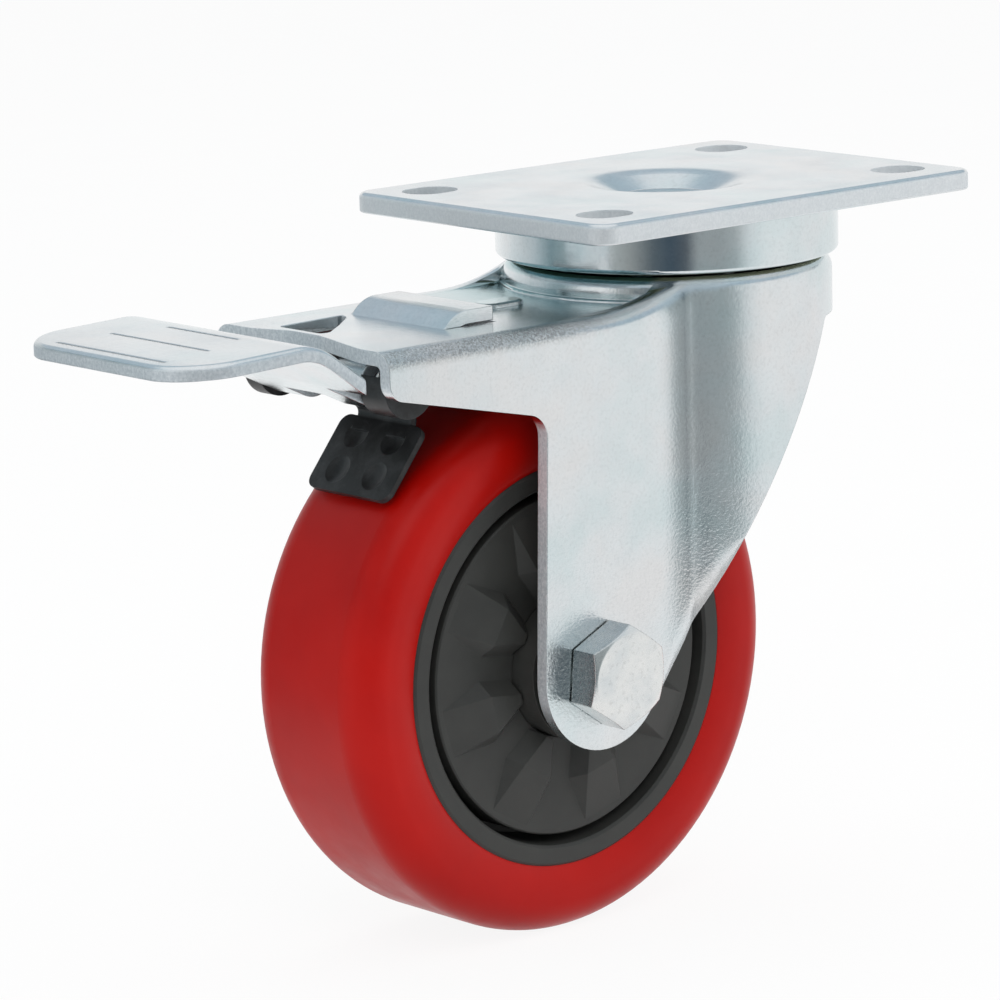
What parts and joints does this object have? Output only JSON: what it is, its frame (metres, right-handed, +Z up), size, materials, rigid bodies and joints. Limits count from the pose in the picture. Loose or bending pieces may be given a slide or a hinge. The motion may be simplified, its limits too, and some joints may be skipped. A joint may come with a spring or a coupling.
{
  "type": "swivel castor",
  "caption": "Plate-mounted swivel castor with a pressed fork, ball bearings, a tread wheel and a foot pedal that brakes the wheel and the swivel.",
  "frame": {"origin": "centre of the mounting plate's top face, on the swivel axis", "axes": "+Z up along the swivel axis, +Y along the wheel axle, the wheel and the pedal trail towards -X"},
  "size_m": [0.1799, 0.0711, 0.1325],
  "materials": {
    "zinc": "satin",
    "fastener_zinc": "satin",
    "bearing_steel": "polished",
    "black_steel": "satin",
    "red_tread": "satin",
    "charcoal_plastic": "satin",
    "black_plastic": "matte"
  },
  "bodies": {
    "plate": {"top_plate": "zinc", "swivel_cup": "zinc", "king_pin": "fastener_zinc", "upper_race": "bearing_steel", "dust_ring": "black_plastic", "lower_race": "bearing_steel", "lock_ring": "zinc"},
    "fork": {"fork": "zinc", "pedal_pin": "fastener_zinc", "return_springs": "bearing_steel", "axle_bolt": "fastener_zinc", "axle_washer": "zinc", "axle_nut": "fastener_zinc", "axle_tube": "bearing_steel", "axle_spacers": "bearing_steel", "bearing_inner_rings": "bearing_steel"},
    "wheel": {"tyre": "red_tread", "wheel_core": "charcoal_plastic", "hub_covers": "charcoal_plastic", "bearing_outer_rings": "bearing_steel", "bearing_shields": "black_plastic"},
    "pedal": {"pedal": "zinc"},
    "brake_shoe": {"brake_shoe": "black_steel"},
    "lock_leaf": {"lock_leaf": "black_steel"},
    "upper_row": {"upper_balls": "bearing_steel", "upper_cage": "bearing_steel"},
    "lower_row": {"lower_balls": "bearing_steel", "lower_cage": "bearing_steel"},
    "bearing_rows": {"bearing_balls": "bearing_steel", "bearing_cages": "bearing_steel"}
  },
  "joints": [
    {"name": "swivel", "type": "hinge", "parent": "plate", "child": "fork", "pos_m": [0, 0, 0], "axis": [0, 0, 1], "continuous": true},
    {"name": "wheel_spin", "type": "hinge", "parent": "fork", "child": "wheel", "pos_m": [-0.04, 0, -0.0825], "axis": [0, 1, 0], "continuous": true},
    {"name": "pedal_press", "type": "hinge", "parent": "fork", "child": "pedal", "pos_m": [-0.081, 0, -0.0255], "axis": [0, -1, 0], "range_deg": [0, 14], "stiffness_Nm_per_rad": 0.3, "springref_deg": -11.46},
    {"name": "shoe_swing", "type": "hinge", "parent": "fork", "child": "brake_shoe", "pos_m": [-0.081, 0, -0.0255], "axis": [0, -1, 0], "range_deg": [0, 2.8]},
    {"name": "leaf_lift", "type": "hinge", "parent": "fork", "child": "lock_leaf", "pos_m": [-0.081, 0, -0.0255], "axis": [0, -1, 0], "range_deg": [0, 1.05]},
    {"name": "upper_row_roll", "type": "hinge", "parent": "plate", "child": "upper_row", "pos_m": [0, 0, 0], "axis": [0, 0, 1], "continuous": true},
    {"name": "lower_row_roll", "type": "hinge", "parent": "plate", "child": "lower_row", "pos_m": [0, 0, 0], "axis": [0, 0, 1], "continuous": true},
    {"name": "bearing_roll", "type": "hinge", "parent": "fork", "child": "bearing_rows", "pos_m": [-0.04, 0, -0.0825], "axis": [0, 1, 0], "continuous": true}
  ],
  "couplings": [
    {"joint": "shoe_swing", "follows": "pedal_press", "ratio": 0.2},
    {"joint": "leaf_lift", "follows": "pedal_press", "ratio": 0.075},
    {"joint": "upper_row_roll", "follows": "swivel", "ratio": 0.5},
    {"joint": "lower_row_roll", "follows": "swivel", "ratio": 0.5},
    {"joint": "bearing_roll", "follows": "wheel_spin", "ratio": 0.59}
  ]
}
